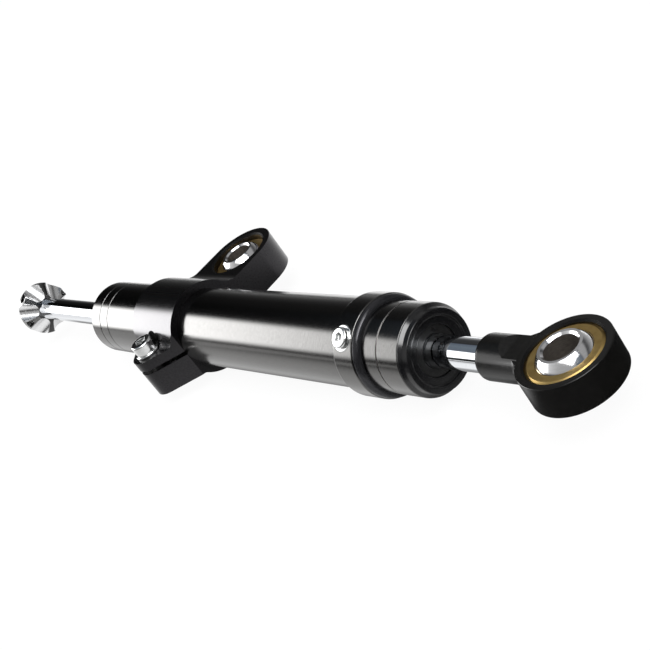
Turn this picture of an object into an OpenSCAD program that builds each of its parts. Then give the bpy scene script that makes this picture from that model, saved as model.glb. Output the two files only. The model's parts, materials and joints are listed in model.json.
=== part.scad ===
// Linear steering damper with a through rod, a tube clamp with a spherical bearing,
// a spherical rod end and a click adjuster on the tail of the rod.
// X runs along the damper towards the rod end, Z runs along the bores of both bearings,
// and the origin is the centre of the clamp's bearing.

/* [Barrel] */
// Outer diameter of the damper tube
tube_od = 29; // [28:0.5:31]
// Bore of the tube, in which the piston runs
tube_bore = 24; // [22:0.5:25]
// Length of the tube from its rear face to the front of its collar
tube_len = 167; // [160:1:200]
// Distance from the clamp's middle to the front of the tube
tube_front = 123.5; // [110:0.5:140]
// Diameter of the raised collar at the front of the tube
collar_od = 32.6; // [32:0.2:34]
// Length of the raised collar
collar_len = 11; // [10:0.5:18]
// Chamfer on the collar's rear edge
collar_chamfer = 1.2; // [0.4:0.2:1.4]

/* [Front head] */
// Length of the black lock ring between tube and gland
front_lock_len = 2.1; // [1.8:0.1:4]
// Diameter of the black lock ring
front_lock_od = 32; // [31:0.2:32.4]
// Diameter of the gland where it shows in front of the lock ring
gland_od = 28.2; // [27.6:0.2:29]
// Length of the gland that shows
gland_len = 16.5; // [14:0.5:24]
// Distance from the front of the gland back to its turned line
gland_line_back = 9.8; // [6:0.2:12]
// Diameter of the nose cap's flange
nose_od = 28; // [27:0.2:28.2]
// Thickness of the nose cap's flange
nose_len = 2.9; // [2.6:0.1:5]
// Width of the sloped edge of the nose cap's flange
nose_slope = 1; // [0.5:0.1:1.2]
// How much the nose narrows from that edge to its front, in radius
nose_taper = 0.4; // [0.1:0.1:0.6]
// Diameter of the outer step sunk into the nose
nose_recess_od = 21; // [19:0.5:22]
// Depth of the outer step sunk into the nose
nose_recess = 1.1; // [0.5:0.1:1.6]

/* [Rear head] */
// Length of the rear lock ring
rear_lock_len = 6.6; // [4:0.2:10]
// Length of the rear cap that shows
rear_cap_len = 8.4; // [8:0.2:14]
// Length of the rear cap's spigot inside the tube
rear_spigot_len = 17.3; // [16.5:0.1:20]
// Chamfer on the rear cap's outer edge
rear_chamfer = 1; // [0.4:0.1:2]

/* [Rod and piston] */
// Diameter of the piston rod
rod_od = 10; // [9.4:0.2:10.4]
// Bore of the rod for the metering needle
rod_bore = 4.4; // [4:0.1:4.8]
// Travel of the rod into the barrel from rest
stroke_in = 19; // [10:0.5:22]
// Travel of the rod out of the barrel from rest
stroke_out = 75; // [50:0.5:76]
// Length of the piston
piston_len = 16; // [12:0.5:20]
// Width of the ring groove in the piston
piston_ring_w = 5; // [3:0.5:7]
// Depth of the ring groove in the piston
piston_ring_t = 1.4; // [1:0.1:2]

/* [Rod end] */
// Distance from the face of the rod end's shank to its ball centre
rod_end_len = 30.1; // [29:0.1:34]
// Diameter of the rod end's shank
shank_od = 13.5; // [12.6:0.1:14.4]
// Length of the rod end's round shank, up to its flats
shank_len = 8.7; // [8:0.1:10]
// Diameter of the rod end's eye
rod_eye_od = 28; // [26.4:0.2:30]
// Thickness of the rod end's eye
rod_eye_t = 10.3; // [9.8:0.1:12]
// Radius of the hollow between the shank and the eye
eye_fillet = 6; // [3:0.5:8]

/* [Spherical bearings] */
// Diameter of both bearing balls
ball_d = 19.05; // [18.6:0.05:19.4]
// Width of both balls over their flat faces
ball_w = 14; // [13.6:0.1:15]
// Bolt bore of both balls
ball_bore = 10; // [8:0.1:11]
// Outer diameter of both bearing races
race_od = 23; // [22.4:0.1:23.6]
// Width of both bearing races
race_w = 9.2; // [8.6:0.1:9.6]

/* [Clamp] */
// Distance from the damper's axis to the clamp's bearing
axis_off = 33.6; // [32.4:0.1:37]
// Width of the clamp along the damper
clamp_w = 30.3; // [28:0.1:34]
// Wall of the clamp's ring around the tube
clamp_wall = 2.9; // [2.6:0.1:3.6]
// Diameter of the clamp's eye
clamp_eye_od = 29.8; // [28:0.2:30.2]
// Height of the clamp's eye
clamp_eye_h = 13.6; // [13:0.1:15]
// Radius of the hollow between the clamp's ring and its eye
arm_fillet = 9; // [7:0.1:9.2]
// Distance from the damper's axis to the pinch bolt
lug_off = 20.3; // [20.2:0.1:22]
// Radius of the lug's tip around the pinch bolt
lug_r = 7; // [6.6:0.1:7.6]
// Height of the lug above the split
lug_top = 4.8; // [4.4:0.1:6]
// Depth of the lug below the split
lug_low = 11.2; // [10:0.1:12]
// Radius of the hollow between the clamp's ring and its lug
lug_fillet = 3; // [2:0.1:3.6]
// Width of the split in the lug
split_w = 1.7; // [1:0.1:2.4]
// Thread diameter of the pinch bolt
bolt_d = 5; // [4:0.5:6]
// Diameter of the pinch bolt's head
bolt_head_od = 8.8; // [8:0.1:9.6]
// Height of the pinch bolt's head
bolt_head_h = 4.4; // [3.5:0.1:6]

/* [Bleed screw] */
// Distance from the front of the tube back to the bleed screw
bleed_back = 4.9; // [4.6:0.1:5.4]
// Angle of the bleed screw around the tube, from the clamp's arm upwards
bleed_angle = 129; // [100:1:150]
// Diameter of the washer under the bleed screw
bleed_washer_od = 8.4; // [7.6:0.1:9]
// Diameter of the bleed screw's head
bleed_head_od = 6.6; // [5.6:0.1:7]
// Thread diameter of the bleed screw
bleed_d = 4; // [3:0.5:4.5]

/* [Adjuster] */
// Diameter of the adjuster knob over its lobes
knob_od = 24; // [22.4:0.2:26]
// Length of the adjuster knob
knob_len = 9.8; // [9.6:0.1:13]
// Radius of the knob's rounded rear edge
knob_round = 3; // [1:0.1:4]
// Number of finger scoops around the knob
knob_scoops = 6; // [4:2:8]
// Radius of each finger scoop
scoop_r = 4.4; // [3:0.1:4.6]
// Travel of the needle each way from rest as the knob turns
needle_travel = 0.88; // [0.4:0.01:0.88]
// Number of clicks in one turn of the knob
clicks = 12; // [8:1:14]
// Diameter of the detent balls
detent_d = 2.5; // [2:0.1:2.6]

/* [Fits] */
// Gap between pieces that are pressed, screwed or seated together
fit = 0.03; // [0.02:0.01:0.06]
// Gap between faces that run on each other
run = 0.06; // [0.04:0.01:0.09]

/* [Hidden] */

// Smoothness of round faces, the overshoot of cuts, and how far a blend dips into what it meets
$fn = 96;
eps = 0.05;
blend_dip = 0.05;

// Colours
black = "#1c1c1e";
hard_grey = "#7d7c7a";
steel = "#c9ccd1";
chrome = "#e2e6ec";
brass = "#c39a4b";
rubber = "#2a2a2a";
ptfe = "#b9a88a";

// Radii of the barrel and the rod
tube_r = tube_od / 2;
bore_r = tube_bore / 2;
collar_r = collar_od / 2;
gland_r = gland_od / 2;
rod_r = rod_od / 2;
needle_r = rod_bore / 2 - run;
ball_r = ball_d / 2;
race_r = race_od / 2;

// Places along the damper, from the tail of the barrel to its nose
tube_rear = tube_front - tube_len;
rear_lock_x = tube_rear - rear_lock_len;
barrel_rear = rear_lock_x - rear_cap_len;
front_lock_x = tube_front + front_lock_len;
gland_front = front_lock_x + gland_len;
nose_front = gland_front + nose_len;
nose_recess_x = nose_front - nose_recess;

// Breaks on edges, room around shafts, and room past a cut
edge_break = 0.3;
rod_room = 0.3;
over = 1;

// Front edge of the lock ring and the gland's turned line
front_lock_round = 1.6;
line_depth = 0.3;
line_w = 0.5;

// Sizes of the pieces inside both heads
thread_r = bore_r + 0.8;
bush_r = rod_r + 1.5;
bush_len = 12;
seal_r = rod_r + 3.4;
seal_len = 5;
lip_t = 0.8;
lip_depth = 0.55 * seal_len;
wiper_r = rod_r + 2.9;
wiper_len = 4.6;
wiper_lip = 1.1;
wiper_body_t = 1.5;
wiper_lip_t = 0.6;
cap_thread_r = seal_r + 2.2;
cap_thread_len = 5.6;
seat_wall = 1.2;
o_ring_r = 1;
o_ring_squeeze = 0.08;
o_ring_back = 5;
o_ring_room = 0.2;
bump_t = 3;
bump_r = bore_r - 0.8;
bump_chamfer = 0.5;
stub_r = bush_r + 1;
stub_len = bump_t - 0.8;

// Piston and its clips
clip_t = 1.2;
clip_r = rod_r + 2;
clip_groove = 0.6;
clip_gap = 2;
stop_gap = 1;
piston_half = piston_len / 2;
piston_r = bore_r - 0.15;
piston_chamfer = 0.8;
rear_in = tube_rear + rear_spigot_len;
piston_x = rear_in + bump_t + stop_gap + stroke_in + clip_t + piston_half;
front_stop = piston_x + piston_half + clip_t + stroke_out + stop_gap;
gland_in = front_stop + bump_t;
port_r = 1.2;
port_out = piston_half + clip_t + 2.6;
needle_seat_r = 1.5;
needle_tip_r = needle_seat_r - 0.7;
needle_taper = 2.5;
needle_tip_in = 0.3;

// Rod end, past the nose by the inward travel
nose_gap = 1.8;
shank_x = nose_front + stroke_in + nose_gap;
rod_end_x = shank_x + rod_end_len;
rod_thread_r = rod_r - 1;
rod_thread_len = shank_len - 1;
shank_round = 1.6;
flat_run = 2.6;
eye_chamfer = 0.4;
eye_sink = 0.2;
race_chamfer = 0.6;

// Knob, behind the rear cap by the outward travel
knob_gap = 1.8;
knob_face = barrel_rear - stroke_out - knob_gap;
knob_end = knob_face - knob_len;
knob_wall = 2.5;
tail_gap = 0.3;
rod_tail = knob_end + knob_wall + tail_gap;
knob_r = knob_od / 2;
knob_hub_r = rod_r + 1.3;
knob_slope = 3.2;
scoop_tilt = 38;
knob_screw_x = rod_tail + 2;
knob_groove_t = 0.9;
knob_groove_half = 1;
rod_chamfer = 0.4;
detent_x = knob_face - 3;
dimple_lift = 0.9;
key_across = 3;
key_gap = 0.1;
needle_seal_in = 24;
needle_ring_r = 0.4;
needle_groove = 2 * needle_ring_r;
needle_groove_half = 0.6;

// Screws and detents in the knob, from the rod's axis
screw_r = 1.5;
screw_z = rod_r + 0.4;
screw_len = 4;
screw_key = 1.5;
screw_key_z = screw_z + 2.4;
dog_r = 0.8;
dog_z = rod_r - 0.6;
detent_r = detent_d / 2;
drill_r = detent_r + 0.1;
detent_z = rod_r + run + detent_r;
spring_r = detent_r - 0.1;
spring_wire = 0.4;
spring_len = 1;
plug_len = 0.8;

// Clamp sizes in its own plane, with the damper's axis at zero
clamp_r = tube_r + clamp_wall;
clamp_half = clamp_w / 2;
eye_r = clamp_eye_od / 2;
eye_half = clamp_eye_h / 2;
bolt_r = bolt_d / 2;
bolt_room = 0.3;
bolt_tip_in = 1;
bolt_round = 0.6;
head_r = bolt_head_od / 2;
washer_r = head_r + 0.6;
washer_t = 0.9;
washer_room = 0.2;
pocket_r = washer_r + 1;

// Flat seat of the bleed screw's washer, from the damper's axis, and the sizes of screw and washer
bleed_seat = collar_r - 1.1;
bleed_washer_t = 0.9;
bleed_head_h = 1.5;
bleed_round = 0.5;
bleed_key = 3;
bleed_key_floor = 0.3;
bleed_tip = bore_r + 0.3;

// Angle at which a straight flank from half width w meets a tip circle of radius r at distance l
function tangent_angle(w, l, r) = acos(r / norm([w, l])) - atan2(l, w);

// Turns a half profile, drawn as radius across and place along, about the damper's axis
module turned() {
    translate([0, -axis_off, 0]) rotate([0, 90, 0]) rotate_extrude() children();
}

// Part of a half profile between two radii and two places
module band(r0, r1, x0, x1) {
    translate([r0, x0]) square([r1 - r0, x1 - x0]);
}

// Corner of a half profile that is cut away to leave it round; side is the way the corner faces
module round_cut(r, x, rad, side) {
    difference() {
        translate([r - rad, side > 0 ? x - rad : x - eps]) square([rad + eps, rad + eps]);
        translate([r - rad, x - side * rad]) circle(rad);
    }
}

// Corner of a half profile that is cut away to leave a chamfer
module chamfer_cut(r, x, c, side) {
    polygon([
        [r - c - eps, x + side * eps],
        [r + eps, x + side * eps],
        [r + eps, x - side * (c + eps)]
    ]);
}

// Inner corner of a bore that is cut away to leave a chamfer at height z
module chamfer_cut_in(r, z, c) {
    polygon([[r - eps, z + eps], [r + c + eps, z + eps], [r - eps, z - c - eps]]);
}

// Places children on the damper's axis, turned around it
module around(x, angle) {
    translate([x, -axis_off, 0]) rotate([angle, 0, 0]) children();
}

// Hexagon prism of a key, by its size across flats, along Z
module key(across, h) {
    cylinder(r = across / 2 / cos(30), h = h, $fn = 6);
}

// Round static seal in a groove of a head's spigot
module spigot_o_ring(x) {
    turned() translate([bore_r - o_ring_squeeze - o_ring_r, x]) circle(o_ring_r);
}

// Groove that holds such a seal
module spigot_groove(x) {
    band(bore_r - o_ring_squeeze - 2 * o_ring_r - fit, bore_r + eps, 
        x - o_ring_r - o_ring_room, x + o_ring_r + o_ring_room);
}

// Lip seal around the rod, open on the oil side; side is the way its back faces
module lip_seal(back, side) {
    x = side > 0 ? back - seal_len : back;
    lip_x = side > 0 ? x : x + seal_len;
    turned() difference() {
        band(rod_r + run, seal_r - fit, x, x + seal_len);
        polygon([
            [rod_r + run + lip_t, lip_x - side * eps],
            [seal_r - fit - lip_t, lip_x - side * eps],
            [(rod_r + seal_r) / 2, lip_x + side * lip_depth]
        ]);
    }
}

// Scraper around the rod with a thin lip; side is the way the lip faces
module scraper(seat, side) {
    front = seat + side * wiper_len;
    turned() polygon([
        [rod_r + run, seat],
        [wiper_r - fit, seat],
        [wiper_r - fit, front],
        [rod_r + wiper_body_t, front],
        [rod_r + wiper_lip_t, front + side * wiper_lip],
        [rod_r + run, front + side * wiper_lip]
    ]);
}

// Rubber stop that rings the stub on a head's inner end
module bump_ring(x) {
    turned() difference() {
        band(stub_r + fit, bump_r, x, x + bump_t);
        chamfer_cut(bump_r, x, bump_chamfer, -1);
        chamfer_cut(bump_r, x + bump_t, bump_chamfer, 1);
    }
}

// Plain bearing in a head's inner end
module rod_bush(x) {
    turned() band(rod_r + run, bush_r - fit, x, x + bush_len);
}

// Race of a spherical bearing around its centre
module bearing_race() {
    difference() {
        cylinder(r = race_r - fit, h = race_w, center = true);
        sphere(ball_r + run);
    }
}

// Ball of a spherical bearing with flat faces and its bolt bore
module bearing_ball() {
    difference() {
        intersection() {
            sphere(ball_r);
            cylinder(r = ball_r + over, h = ball_w, center = true);
        }
        cylinder(r = ball_bore / 2, h = ball_w + over, center = true);
    }
}

// Web of thickness t that fills the hollow between a round of radius r and a flat at height h with a
// blend of radius rf, in the quarter that the signs across and up name
module blend_web(r, h, rf, across, up, t) {
    reach = across * sqrt(pow(r + rf - blend_dip, 2) - pow(h + rf - blend_dip, 2));
    foot = [reach, 0];
    centre = [reach, up * (h + rf - blend_dip)];
    difference() {
        linear_extrude(t) polygon(across * up > 0 ? [[0, 0], foot, centre] : [[0, 0], centre, foot]);
        translate([centre.x, centre.y, -over]) cylinder(r = rf, h = t + 2 * over);
    }
}

// End of a flank that runs from half width w to a round tip of radius r at distance l
function flank_end(w, l, r) =
    let (in_r = r - blend_dip, a = tangent_angle(w, l, in_r)) in_r * [cos(a), sin(a)];

// Tube with its bore, collar and the seat of the bleed screw
module body_tube() {
    collar_x = tube_front - collar_len;
    color(hard_grey) difference() {
        turned() difference() {
            union() {
                band(bore_r, tube_r, tube_rear, tube_front);
                band(bore_r, collar_r, collar_x, tube_front);
            }
            chamfer_cut(collar_r, collar_x, min(collar_chamfer, collar_r - tube_r), -1);
        }
        around(tube_front - bleed_back, bleed_angle - 90) {
            cylinder(r = bleed_d / 2 + fit, h = collar_r + over);
            translate([0, 0, bleed_seat]) cylinder(r = bleed_washer_od / 2 + fit, h = collar_r);
        }
    }
}

module bleed_washer() {
    color(steel) around(tube_front - bleed_back, bleed_angle - 90) difference() {
        translate([0, 0, bleed_seat]) cylinder(r = bleed_washer_od / 2, h = bleed_washer_t);
        cylinder(r = bleed_d / 2 + fit, h = 2 * collar_r);
    }
}

module bleed_screw() {
    head_z = bleed_seat + bleed_washer_t;
    color(steel) around(tube_front - bleed_back, bleed_angle - 90) difference() {
        union() {
            translate([0, 0, bleed_tip]) cylinder(r = bleed_d / 2, h = head_z - bleed_tip + eps);
            translate([0, 0, head_z]) rotate_extrude() difference() {
                band(0, bleed_head_od / 2, 0, bleed_head_h);
                round_cut(bleed_head_od / 2, bleed_head_h, bleed_round, 1);
            }
        }
        translate([0, 0, head_z + bleed_key_floor]) key(bleed_key, bleed_head_h);
    }
}

// Black ring that locks the gland, with a round front edge
module front_lock_ring() {
    lock_r = front_lock_od / 2;
    color(black) turned() difference() {
        band(thread_r + fit, lock_r, tube_front, front_lock_x);
        round_cut(lock_r, front_lock_x, front_lock_round, 1);
    }
}

// Front head: spigot in the tube, screwed neck, turned ring that shows, and the seats inside it
module front_gland() {
    line_x = gland_front - gland_line_back;
    seal_x = gland_front - cap_thread_len;
    color(hard_grey) turned() difference() {
        union() {
            band(rod_r, stub_r, gland_in - stub_len, gland_in);
            band(rod_r, bore_r - fit, gland_in, tube_front);
            band(rod_r, thread_r, tube_front, front_lock_x);
            band(rod_r, gland_r, front_lock_x, gland_front);
        }
        band(rod_r - eps, rod_r + rod_room, gland_in - stub_len - eps, gland_front + eps);
        band(0, bush_r, gland_in - stub_len - eps, gland_in - stub_len + bush_len);
        band(0, seal_r, seal_x - seal_len, gland_front + eps);
        band(0, cap_thread_r, seal_x, gland_front + eps);
        spigot_groove(tube_front - o_ring_back);
        band(gland_r - line_depth, gland_r + eps, line_x, line_x + line_w);
        chamfer_cut(gland_r, front_lock_x, edge_break, -1);
    }
}

module front_rod_bush() {
    color(ptfe) rod_bush(gland_in - stub_len);
}

module front_rod_seal() {
    color(rubber) lip_seal(gland_front - cap_thread_len, 1);
}

module front_gland_o_ring() {
    color(rubber) spigot_o_ring(tube_front - o_ring_back);
}

module front_bump_ring() {
    color(rubber) bump_ring(front_stop);
}

// Nose cap: screwed neck, flange with a sloped edge and two sunk steps, and the scraper's seat
module nose_cap() {
    neck_x = gland_front - cap_thread_len;
    seat_x = neck_x + seat_wall;
    nose_r = nose_od / 2;
    rim_x = gland_front + edge_break;
    color(black) turned() difference() {
        union() {
            band(rod_r, cap_thread_r - fit, neck_x, gland_front);
            polygon([
                [rod_r, gland_front],
                [nose_r, gland_front],
                [nose_r, rim_x],
                [nose_r - nose_slope, rim_x + nose_slope],
                [nose_r - nose_slope - nose_taper, nose_front],
                [rod_r, nose_front]
            ]);
        }
        band(rod_r - eps, rod_r + rod_room, neck_x - eps, nose_front);
        band(0, wiper_r, seat_x, nose_front + eps);
        band(0, nose_recess_od / 2, nose_recess_x, nose_front + eps);
    }
}

module front_wiper() {
    color(rubber) scraper(gland_front - cap_thread_len + seat_wall, 1);
}

module rear_lock_ring() {
    color(hard_grey) turned() difference() {
        band(thread_r + fit, tube_r, rear_lock_x, tube_rear);
        chamfer_cut(tube_r, tube_rear, edge_break, 1);
        chamfer_cut(tube_r, rear_lock_x, edge_break, -1);
    }
}

// Rear head: spigot in the tube, screwed neck, and the cap that shows
module rear_cap() {
    seal_x = barrel_rear + wiper_len + seat_wall;
    color(hard_grey) turned() difference() {
        union() {
            band(rod_r, stub_r, rear_in, rear_in + stub_len);
            band(rod_r, bore_r - fit, tube_rear, rear_in);
            band(rod_r, thread_r, rear_lock_x, tube_rear);
            band(rod_r, tube_r, barrel_rear, rear_lock_x);
        }
        band(rod_r - eps, rod_r + rod_room, barrel_rear - eps, rear_in + stub_len + eps);
        band(0, bush_r, rear_in + stub_len - bush_len, rear_in + stub_len + eps);
        band(0, wiper_r, barrel_rear - eps, barrel_rear + wiper_len);
        band(0, seal_r, seal_x, seal_x + seal_len);
        spigot_groove(tube_rear + o_ring_back);
        chamfer_cut(tube_r, barrel_rear, rear_chamfer, -1);
    }
}

module rear_rod_bush() {
    color(ptfe) rod_bush(rear_in + stub_len - bush_len);
}

module rear_rod_seal() {
    color(rubber) lip_seal(barrel_rear + wiper_len + seat_wall, -1);
}

module rear_cap_o_ring() {
    color(rubber) spigot_o_ring(tube_rear + o_ring_back);
}

module rear_bump_ring() {
    color(rubber) bump_ring(rear_in);
}

module rear_wiper() {
    color(rubber) scraper(barrel_rear + wiper_len, -1);
}

// Side form of the clamp along X: ring, arm and lug with the hollows between them
module clamp_side() {
    rotate([0, 90, 0]) cylinder(r = clamp_r, h = clamp_w, center = true);
    translate([-clamp_half, 0, -eye_half]) cube([clamp_w, axis_off + eye_r + over, clamp_eye_h]);
    translate([-clamp_half, -lug_off - lug_r - over, -lug_low])
        cube([clamp_w, lug_off + lug_r + over, lug_low + lug_top]);
    translate([-clamp_half, 0, 0]) rotate([90, 0, 90]) {
        for (up = [-1, 1]) blend_web(clamp_r, eye_half, arm_fillet, 1, up, clamp_w);
        blend_web(clamp_r, lug_top, lug_fillet, -1, 1, clamp_w);
        blend_web(clamp_r, lug_low, lug_fillet, -1, -1, clamp_w);
    }
}

// Top form of the clamp: ring width, arm that narrows to the eye, and lug that narrows to its bolt
module clamp_top(tall) {
    w = clamp_half + blend_dip;
    arm = flank_end(w, axis_off - tube_r, eye_r);
    lug = flank_end(w, lug_off - tube_r, lug_r);
    translate([0, 0, -tall / 2]) {
        linear_extrude(tall) polygon([
            [w, -tube_r],
            [w, tube_r],
            [arm.x, axis_off + arm.y],
            [-arm.x, axis_off + arm.y],
            [-w, tube_r],
            [-w, -tube_r],
            [-lug.x, -lug_off - lug.y],
            [lug.x, -lug_off - lug.y]
        ]);
        translate([0, axis_off, 0]) cylinder(r = eye_r, h = tall);
        translate([0, -lug_off, 0]) cylinder(r = lug_r, h = tall);
    }
}

// Split clamp: the two forms meet, then the tube, the bearing, the split and the bolt are cut
module clamp_bracket() {
    tall = 2 * (clamp_r + over);
    color(black) difference() {
        translate([0, -axis_off, 0]) difference() {
            intersection() {
                clamp_side();
                clamp_top(tall);
            }
            rotate([0, 90, 0]) cylinder(r = tube_r + fit, h = clamp_w + 2 * over, center = true);
            translate([-clamp_half - over, -lug_off - lug_r - over, -split_w / 2])
                cube([clamp_w + 2 * over, lug_off + lug_r + over, split_w]);
            translate([0, -lug_off, -lug_low - over]) cylinder(r = bolt_r + fit, h = tall);
            translate([0, -lug_off, 0]) cylinder(r = bolt_r + bolt_room, h = tall);
            translate([0, -lug_off, lug_top]) cylinder(r = pocket_r, h = tall);
        }
        cylinder(r = race_r, h = clamp_eye_h + 2 * over, center = true);
        for (end = [0, 1]) mirror([0, 0, end]) rotate_extrude() chamfer_cut_in(race_r, eye_half, race_chamfer);
    }
}

module clamp_race() {
    color(brass) bearing_race();
}

module clamp_ball() {
    color(chrome) bearing_ball();
}

module clamp_washer() {
    color(steel) translate([0, -axis_off - lug_off, lug_top]) difference() {
        cylinder(r = washer_r, h = washer_t);
        translate([0, 0, -over]) cylinder(r = bolt_r + washer_room, h = washer_t + 2 * over);
    }
}

// Socket-head pinch bolt
module clamp_bolt() {
    seat = lug_top + washer_t;
    tip = bolt_tip_in - lug_low;
    socket = bolt_d - 1;
    color(steel) translate([0, -axis_off - lug_off, 0]) difference() {
        union() {
            translate([0, 0, tip]) cylinder(r = bolt_r, h = seat - tip + eps);
            translate([0, 0, seat]) rotate_extrude() difference() {
                band(0, head_r, 0, bolt_head_h);
                round_cut(head_r, bolt_head_h, bolt_round, 1);
            }
        }
        translate([0, 0, seat + bolt_head_h / 2]) key(socket, bolt_head_h);
    }
}

// Ground rod, drilled from its tail for the needle, with ports on both sides of the piston
module piston_rod() {
    front_bore = piston_x + port_out + port_r + over;
    color(chrome) difference() {
        turned() difference() {
            union() {
                band(0, rod_r, rod_tail, shank_x);
                band(0, rod_thread_r, shank_x, shank_x + rod_thread_len);
            }
            band(-eps, rod_bore / 2, rod_tail - eps, piston_x);
            band(-eps, needle_seat_r, piston_x - eps, front_bore);
            for (side = [-1, 1]) {
                clip_x = piston_x + side * (piston_half + clip_t / 2);
                band(rod_r - clip_groove, rod_r + eps, clip_x - clip_t / 2, clip_x + clip_t / 2);
            }
            band(rod_r - knob_groove_t, rod_r + eps,
                knob_screw_x - knob_groove_half, knob_screw_x + knob_groove_half);
            chamfer_cut(rod_r, rod_tail, rod_chamfer, -1);
        }
        for (side = [-1, 1]) around(piston_x + side * port_out, 0)
            cylinder(r = port_r, h = rod_od + 2 * over, center = true);
        for (i = [0 : clicks - 1]) around(detent_x, i * 360 / clicks)
            translate([0, 0, rod_r + dimple_lift]) sphere(detent_r);
    }
}

module piston() {
    color(hard_grey) turned() difference() {
        band(rod_r + fit, piston_r, piston_x - piston_half, piston_x + piston_half);
        band(bore_r - piston_ring_t, bore_r + over, piston_x - piston_ring_w / 2, piston_x + piston_ring_w / 2);
        chamfer_cut(piston_r, piston_x - piston_half, piston_chamfer, -1);
        chamfer_cut(piston_r, piston_x + piston_half, piston_chamfer, 1);
    }
}

// Slide ring that runs in the bore, and in which the piston may turn
module piston_ring() {
    half = piston_ring_w / 2 - run;
    color(ptfe) turned()
        band(bore_r - piston_ring_t + run, bore_r - run, piston_x - half, piston_x + half);
}

module piston_clips() {
    color(steel) for (side = [-1, 1]) {
        x = piston_x + side * (piston_half + clip_t / 2);
        difference() {
            turned() band(rod_r - clip_groove + fit, clip_r, x - clip_t / 2 + fit, x + clip_t / 2 - fit);
            around(x, 0) translate([-clip_t, -clip_gap / 2, 0]) cube([2 * clip_t, clip_gap, clip_r + over]);
        }
    }
}

// Round shank of the rod end, run on into the eye
module rod_end_shank() {
    shank_r = shank_od / 2;
    turned() difference() {
        band(0, shank_r, shank_x, rod_end_x - race_r + over);
        round_cut(shank_r, shank_x, shank_round, -1);
    }
}

// Webs that widen the shank in a hollow curve to the eye, with their corners taken off by a cone
module rod_end_webs() {
    web_r = shank_od / 2 - eye_sink;
    web_t = rod_eye_t - 2 * eye_chamfer;
    web_x = rod_end_x - sqrt(pow(rod_eye_od / 2 + eye_fillet, 2) - pow(web_r + eye_fillet, 2));
    flare = (rod_eye_od / 2 - eye_sink - web_r) / (rod_end_x - web_x);
    intersection() {
        translate([rod_end_x, -axis_off, -web_t / 2]) for (side = [-1, 1])
            blend_web(rod_eye_od / 2, web_r, eye_fillet, -1, side, web_t);
        turned() polygon([
            [0, web_x - over],
            [web_r - over * flare, web_x - over],
            [rod_eye_od / 2 - eye_sink, rod_end_x],
            [0, rod_end_x]
        ]);
    }
}

// Side form that brings the shank's height down to the eye's flats
module rod_end_flats() {
    flat_x = shank_x + shank_len;
    tall = shank_od / 2 + over;
    half = rod_eye_t / 2 - eye_sink;
    translate([0, over - axis_off + rod_eye_od / 2, 0]) rotate([90, 0, 0]) linear_extrude(rod_eye_od + 2 * over)
        polygon([
            [shank_x - over, -tall],
            [flat_x, -tall],
            [flat_x, -shank_od / 2],
            [flat_x + flat_run, -half],
            [rod_end_x, -half],
            [rod_end_x, half],
            [flat_x + flat_run, half],
            [flat_x, shank_od / 2],
            [flat_x, tall],
            [shank_x - over, tall]
        ]);
}

// Rod end: shank with flats towards its eye, flat eye with hollow webs into it, and the bore for its race
module rod_end_eye() {
    half = rod_eye_t / 2;
    color(black) difference() {
        union() {
            intersection() {
                union() {
                    rod_end_shank();
                    rod_end_webs();
                }
                rod_end_flats();
            }
            translate([rod_end_x, -axis_off, 0]) rotate_extrude() difference() {
                band(0, rod_eye_od / 2, -half, half);
                chamfer_cut(rod_eye_od / 2, half, eye_chamfer, 1);
                chamfer_cut(rod_eye_od / 2, -half, eye_chamfer, -1);
            }
        }
        turned() band(0, rod_thread_r + fit, shank_x - eps, shank_x + shank_len);
        translate([rod_end_x, -axis_off, 0]) {
            cylinder(r = race_r, h = rod_eye_t + 2 * over, center = true);
            for (end = [0, 1]) mirror([0, 0, end]) rotate_extrude() chamfer_cut_in(race_r, half, race_chamfer);
        }
    }
}

module rod_end_race() {
    color(brass) translate([rod_end_x, -axis_off, 0]) bearing_race();
}

module rod_end_ball() {
    color(chrome) translate([rod_end_x, -axis_off, 0]) bearing_ball();
}

// Angle of a lobe between two finger scoops
function lobe_angle(i) = (i + 0.5) * 360 / knob_scoops;

// Radial drillings in the knob: screws on one pair of lobes and detents on another
module knob_drillings(x, lobe, r) {
    for (side = [0, 1]) around(x, lobe_angle(lobe + side * knob_scoops / 2)) cylinder(r = r, h = knob_od);
}

// Knob with a sloping inner face, finger scoops, the rod's bore and a keyed end wall
module adjuster_knob() {
    color(steel) difference() {
        turned() difference() {
            polygon([
                [0, knob_end],
                [knob_r, knob_end],
                [knob_r, knob_face - knob_slope],
                [knob_hub_r, knob_face],
                [0, knob_face]
            ]);
            round_cut(knob_r, knob_end, knob_round, -1);
            band(-eps, rod_r + run, rod_tail - tail_gap, knob_face + eps);
        }
        for (i = [0 : knob_scoops - 1]) around(knob_face, i * 360 / knob_scoops)
            translate([0, 0, knob_hub_r + scoop_r]) rotate([0, -90 + scoop_tilt, 0])
                cylinder(r = scoop_r, h = 4 * knob_len, center = true);
        around(knob_end - over, 0) rotate([0, 90, 0]) key(key_across + 2 * key_gap, knob_wall + 2 * over);
        knob_drillings(knob_screw_x, 0, screw_r + fit);
        knob_drillings(detent_x, 1, drill_r);
    }
}

// Dog-point screws whose tips run in the rod's groove and keep the knob on
module knob_screws() {
    color(steel) for (side = [0, 1]) around(knob_screw_x, lobe_angle(side * knob_scoops / 2)) difference() {
        union() {
            translate([0, 0, dog_z]) cylinder(r = dog_r, h = screw_z - dog_z + eps);
            translate([0, 0, screw_z]) cylinder(r = screw_r, h = screw_len);
        }
        translate([0, 0, screw_key_z]) key(screw_key, screw_len);
    }
}

module detent_balls() {
    color(chrome) for (side = [0, 1]) around(detent_x, lobe_angle(1 + side * knob_scoops / 2))
        translate([0, 0, detent_z]) sphere(detent_r);
}

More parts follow.
